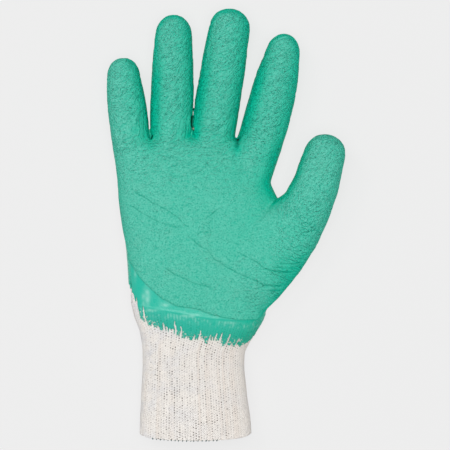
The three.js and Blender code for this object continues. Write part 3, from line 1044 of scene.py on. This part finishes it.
def knitGroup():
    group, given, out = newGroup("knitStitches", {"Slope": 1.1, "Stagger": 0.618}, ["Height", "Gap", "Column"])
    wale, course = separated(group, given["Vector"])[:2]
    half = plus(group, wale, 0.5)
    inside = minus(group, calculated(group, "FRACT", half), 0.5)
    aside = times(group, calculated(group, "ABSOLUTE", inside), 2.0)
    number = calculated(group, "FLOOR", half)
    started = plus(group, course, times(group, number, given["Stagger"]))
    lifted = plus(group, started, times(group, aside, given["Slope"]))
    band = calculated(group, "ABSOLUTE", calculated(group, "SINE", times(group, lifted, math.pi)))
    rounded = minus(group, 1.0, times(group, calculated(group, "POWER", aside, 3.0), stitch["flattening"]))
    nearest = calculated(group, "FLOOR", wale)
    moved = plus(group, course, times(group, nearest, given["Stagger"]))
    dots = ramp(group, calculated(group, "SINE", times(group, moved, 2 * math.pi)), *stitch["dot"])
    chance = chanceOf(group, nearest, calculated(group, "FLOOR", plus(group, moved, 0.25)))
    place = combined(group, times(group, nearest, 3.7), times(group, course, 0.09))
    opened = ramp(group, grainy(group, place, 1.0, 2.0, 0.6), *stitch["open"])
    likely = plus(group, calculated(group, "POWER", chance, stitch["rarity"]), stitch["leastDot"])
    dotted = times(group, times(group, times(group, dots, opened), likely), stitch["dotGain"])
    gap = times(group, ramp(group, aside, *stitch["edge"]), dotted, clamp=True)
    group.links.new(times(group, calculated(group, "POWER", band, stitch["fullness"]), rounded), out["Height"])
    group.links.new(gap, out["Gap"])
    group.links.new(chanceOf(group, times(group, number, 7.13)), out["Column"])
    return group


folds = foldsGroup()
stitches = knitGroup()

# Colours of the crinkled dip. side is painted shade, fold painted shade in the creases, the near-black tint
# painted shadow where fingers touch; deep serves both the grain and the painted shadow beside the ridges, and
# pale both the grain and the paler ridge tops.
crinkled = {
    "green": (0.096, 0.55, 0.408),
    "pale": (0.165, 0.66, 0.520),
    "deep": (0.0, 0.38, 0.262),
    "side": (0.0, 0.52, 0.340),
    "fold": (0.0, 0.30, 0.20),
    "contactShadow": (0.0, 0.045, 0.022),
    "tan": (0.17, 0.50, 0.36),
    "bare": (0.66, 0.62, 0.50),
    "shadeStep": (-0.25 * mm, 0.35 * mm, 0),  # towards the light from a ridge's darker side
    "arcRun": 28 * mm,                        # one radian round the thumb counts as this much along a fold
    "fingerFolds": {"Size": 1.9, "Slant": 0.0, "Stretch": 0.32, "Warp": 0.9},
    "thumbArcs": {"Size": 2.0, "Slant": 0.0, "Stretch": 0.14, "Warp": 0.7},
    "palmLines": {"Size": 2.2, "Slant": 0.25, "Stretch": 0.45, "Warp": 1.1},
}


def foldRidges(tree, space, shift):
    place = vectored(tree, "ADD", attributed(tree, "foldSpace", "Vector"), shift)
    slanted = grouped(tree, folds, Vector=place, **crinkled["fingerFolds"])["Height"]
    centre = Vector((*grip["arcCentre"], 0)) - Vector(shift)
    flat = vectored(tree, "MULTIPLY", vectored(tree, "SUBTRACT", space, centre), (1, 1, 0))
    parts = separated(tree, flat)
    turn = calculated(tree, "ARCTAN2", parts[1], parts[0])
    away = newNode(tree, "VectorMath", {0: flat}, operation="LENGTH").outputs["Value"]
    polar = combined(tree, times(tree, turn, crinkled["arcRun"]), away)
    curled = grouped(tree, folds, Vector=polar, **crinkled["thumbArcs"])["Height"]
    return newNode(tree, "Mix", {0: attributed(tree, "arc"), 2: slanted, 3: curled}).outputs[0]


def crinkledLatex():
    material, tree, shader = newMaterial("crinkledLatex", 0.62, 0.05)
    space = objectSpace(tree)
    strength = attributed(tree, "crinkle")
    crease = attributed(tree, "crease")
    lumps = grainy(tree, space, 1050.0, 2.0, 0.55)
    pores = grainy(tree, space, 2600.0, 1.0)
    # Painted shadow: the ridges are sampled again a little way towards the light, and where that copy stands
    # higher, the ridge's shaded side is painted deep green
    ridges = foldRidges(tree, space, (0, 0, 0))
    behind = foldRidges(tree, space, crinkled["shadeStep"])
    shaded = times(tree, minus(tree, behind, ridges, clamp=True), strength)
    worms = times(tree, ridges, strength)
    rare = grouped(tree, folds, Vector=space, **crinkled["palmLines"])["Height"]
    here = ramp(tree, grainy(tree, space, 120.0, 1.0), 0.4, 0.65)
    lines = times(tree, rare, times(tree, here, ramp(tree, strength, 0.3, 0.9, 1.0, 0.0)))
    bumped(tree, shader, (worms, 0.4 * mm), (lines, 0.18 * mm), (lumps, 0.66 * mm), (pores, 0.4 * mm))
    arced = plus(tree, times(tree, attributed(tree, "arc"), 0.5), 0.6)
    painted(tree, shader, crinkled, "green",
            (ramp(tree, grainy(tree, space, 60.0), 0.5, 0.8, 0.0, 0.25), "tan"),
            # ridge tops paler: thinner translucent latex over them, and a painted highlight
            (plus(tree, times(tree, worms, 0.55), times(tree, lines, 0.3)), "pale"),
            (ramp(tree, lumps, 0.52, 0.28, 0.0, 0.62), "deep"),
            (ramp(tree, lumps, 0.5, 0.72, 0.0, 0.6), "pale"),
            # painted shadow on the ridges' shaded side
            (times(tree, shaded, arced, clamp=True), "deep"),
            # painted shade on the flanks and in the hollow places
            (attributed(tree, "side"), "side"),
            # painted shade at grazing edges, where the surface turns away from the view
            (times(tree, ramp(tree, facingAway(tree), 0.16, 0.6), attributed(tree, "rim")), "side"),
            # painted shade in the creases, and painted shadow in the deepest of them
            (ramp(tree, crease, 0.08, 0.5, 0.0, 0.55), "fold"),
            (ramp(tree, crease, 0.7, 1.0, 0.0, 0.9), "contactShadow"),
            (attributed(tree, "bare"), "bare"))
    tree.links.new(ramp(tree, lumps, 0.3, 0.7, 0.7, 0.52), shader.inputs["Roughness"])
    return material


# Colours of the smooth dip. under is painted shadow along the crinkled dip's edge, glint a painted highlight;
# deep serves both the pores and painted shade on the flanks and edges.
smooth = {
    "teal": (0.020, 0.47, 0.345),
    "thinTeal": (0.045, 0.55, 0.43),
    "under": (0.0, 0.25, 0.17),
    "deep": (0.0, 0.44, 0.29),
    "dot": (0.0, 0.16, 0.10),
    "glint": (0.42, 0.78, 0.68),
    "bare": (0.70, 0.68, 0.60),
}


def smoothLatex():
    material, tree, shader = newMaterial("smoothLatex", 0.3, 0.34)
    space = objectSpace(tree)
    thin = attributed(tree, "thin")
    knit = grouped(tree, stitches, Vector=attributed(tree, "waleSpace", "Vector"))
    soft = grainy(tree, space, 260.0)
    pores = grainy(tree, space, 1500.0)
    through = times(tree, knit["Height"], plus(tree, times(tree, thin, 0.9), 0.1))
    bumped(tree, shader, (through, 0.3 * mm), (soft, 0.3 * mm), (pores, 0.12 * mm))
    worn = times(tree, grainy(tree, space, 700.0, 2.0, 0.6), attributed(tree, "worn"))
    painted(tree, shader, smooth, "teal",
            (times(tree, times(tree, knit["Height"], thin), 0.6), "thinTeal"),
            (ramp(tree, pores, 0.55, 0.3, 0.0, 0.3), "deep"),
            # painted shade on the flank away from the key light, and at grazing edges
            (attributed(tree, "side"), "deep"),
            (ramp(tree, facingAway(tree), 0.2, 0.6, 0.0, 0.8), "deep"),
            (times(tree, times(tree, knit["Gap"], thin), 0.6), "dot"),
            # painted shadow along the crinkled dip's edge
            (attributed(tree, "gripEdgeShadow"), "under"),
            # painted highlights
            (attributed(tree, "glint"), "glint"),
            (ramp(tree, worn, 0.55, 0.62, 0.0, 0.8), "bare"))
    tree.links.new(ramp(tree, soft, 0.3, 0.7, 0.24, 0.42), shader.inputs["Roughness"])
    return material


yarn = {
    "cream": (1.0, 0.96, 0.91),
    "tan": (0.86, 0.75, 0.66),
    "grey": (0.87, 0.86, 0.87),
    "gap": (0.085, 0.052, 0.038),
}


def knitYarn(name, gapDepth, bump):
    material, tree, shader = newMaterial(name, 0.92, 0.1)
    space = objectSpace(tree)
    across = separated(tree, space)[0]
    knit = grouped(tree, stitches, Vector=attributed(tree, "waleSpace", "Vector"))
    fluff = grainy(tree, space, 1600.0, 4.0, 0.65)
    grain = grainy(tree, space, 1300.0, 2.0, 0.6)
    bumped(tree, shader, (knit["Height"], bump), (grain, 0.4 * mm), (fluff, 0.2 * mm))
    warm = ramp(tree, across, -50 * mm, 15 * mm, 0.05, 0.18)
    cool = ramp(tree, across, -50 * mm, -5 * mm, 0.8, 0.25)
    mottle = ramp(tree, grainy(tree, space, 90.0, 3.0, 0.6), 0.4, 0.7)
    calmLeft = ramp(tree, across, -54 * mm, -36 * mm, 0.1, 1.0)
    calmRight = ramp(tree, across, 14 * mm, 0, 0.1, 1.0)
    dots = times(tree, knit["Gap"], gapDepth)
    painted(tree, shader, yarn, "cream",
            (plus(tree, ramp(tree, knit["Column"], 0.7, 1.0, 0.0, 0.3), warm, clamp=True), "tan"),
            (times(tree, mottle, cool), "grey"),
            # painted shade where the yarn lies low between stitches
            (ramp(tree, knit["Height"], 0.5, 0.05, 0.0, 0.16), "gap"),
            (ramp(tree, grain, 0.5, 0.25, 0.0, 0.22), "gap"),
            (times(tree, dots, times(tree, calmLeft, calmRight)), "gap"))
    return material


thread = {"dark": (0.012, 0.05, 0.055), "light": (0.04, 0.13, 0.13)}


def overlockThread():
    material, tree, shader = newMaterial("overlockThread", 0.7, 0.3)
    ply = grainy(tree, objectSpace(tree), 1800.0)
    bumped(tree, shader, (ply, 0.08 * mm))
    painted(tree, shader, thread, "dark", (ramp(tree, ply, 0.35, 0.65), "light"))
    return material


dress(gripPiece, crinkledLatex(), "crinkled_latex", "grip_coat")
dress(basePiece, smoothLatex(), "smooth_latex", "base_coat")
dress(linerPiece, knitYarn("linerKnit", 0.4, 0.22 * mm), "liner_knit", *palmNodes)
dress(cuffPiece, knitYarn("cuffKnit", 1.0, 0.26 * mm), "cuff_knit", "knit_cuff")
dress(hemPiece, overlockThread(), "hem_thread", "cuff_hem")
print("materials on")


# Floor, light and camera

studio = {
    "floorColor": (0.11, 0.11, 0.11, 1),
    "floorGlow": 0.725,
    "floorSize": 4,
    "floorDrop": 0.02 * mm,    # under the lowest point of the pieces
    "skyStrength": 0.36,
    "overhead": {"power": 40.5, "size": 1.6, "spot": (0, 0, 2.4)},
    "key": {"power": 9.0, "size": 0.7, "spot": (-1.0, 0.8, 2.1)},
    "cameraSpot": (-0.5 * mm, 0, 1515 * mm),  # the photograph's middle lies below it
    "lens": 200,
}


def addFloor():
    bm = bmesh.new()
    bmesh.ops.create_grid(bm, x_segments=1, y_segments=1, size=studio["floorSize"])
    mesh = meshOf(bm, "floor")
    floor = newObject("floor", mesh)
    floor.location.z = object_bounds()[0].z - studio["floorDrop"]
    material, _, shader = newMaterial("paleFloor", 0.9, 0.1)
    shader.inputs["Base Color"].default_value = studio["floorColor"]
    shader.inputs["Emission Color"].default_value = (1, 1, 1, 1)
    shader.inputs["Emission Strength"].default_value = studio["floorGlow"]
    mesh.materials.append(material)


def addLight(name):
    row = studio[name]
    lamp = bpy.data.lights.new(name, "AREA")
    lamp.energy = row["power"]
    lamp.shape = "DISK"
    lamp.size = row["size"]
    obj = newObject(name, lamp)
    obj.location = row["spot"]
    obj.rotation_euler = (Vector() - Vector(row["spot"])).to_track_quat("-Z", "Y").to_euler()


def addStudio():
    addFloor()
    world = bpy.data.worlds.new("studio")
    bpy.context.scene.world = world
    world.use_nodes = True
    background = world.node_tree.nodes["Background"]
    background.inputs["Color"].default_value = (1, 1, 1, 1)
    background.inputs["Strength"].default_value = studio["skyStrength"]
    addLight("overhead")
    addLight("key")
    camera = bpy.data.cameras.new("camera")
    camera.lens = studio["lens"]
    camera.sensor_width = 36
    obj = newObject("camera", camera)
    obj.location = studio["cameraSpot"]
    bpy.context.scene.camera = obj
    bpy.context.scene.view_settings.view_transform = "Standard"


addStudio()
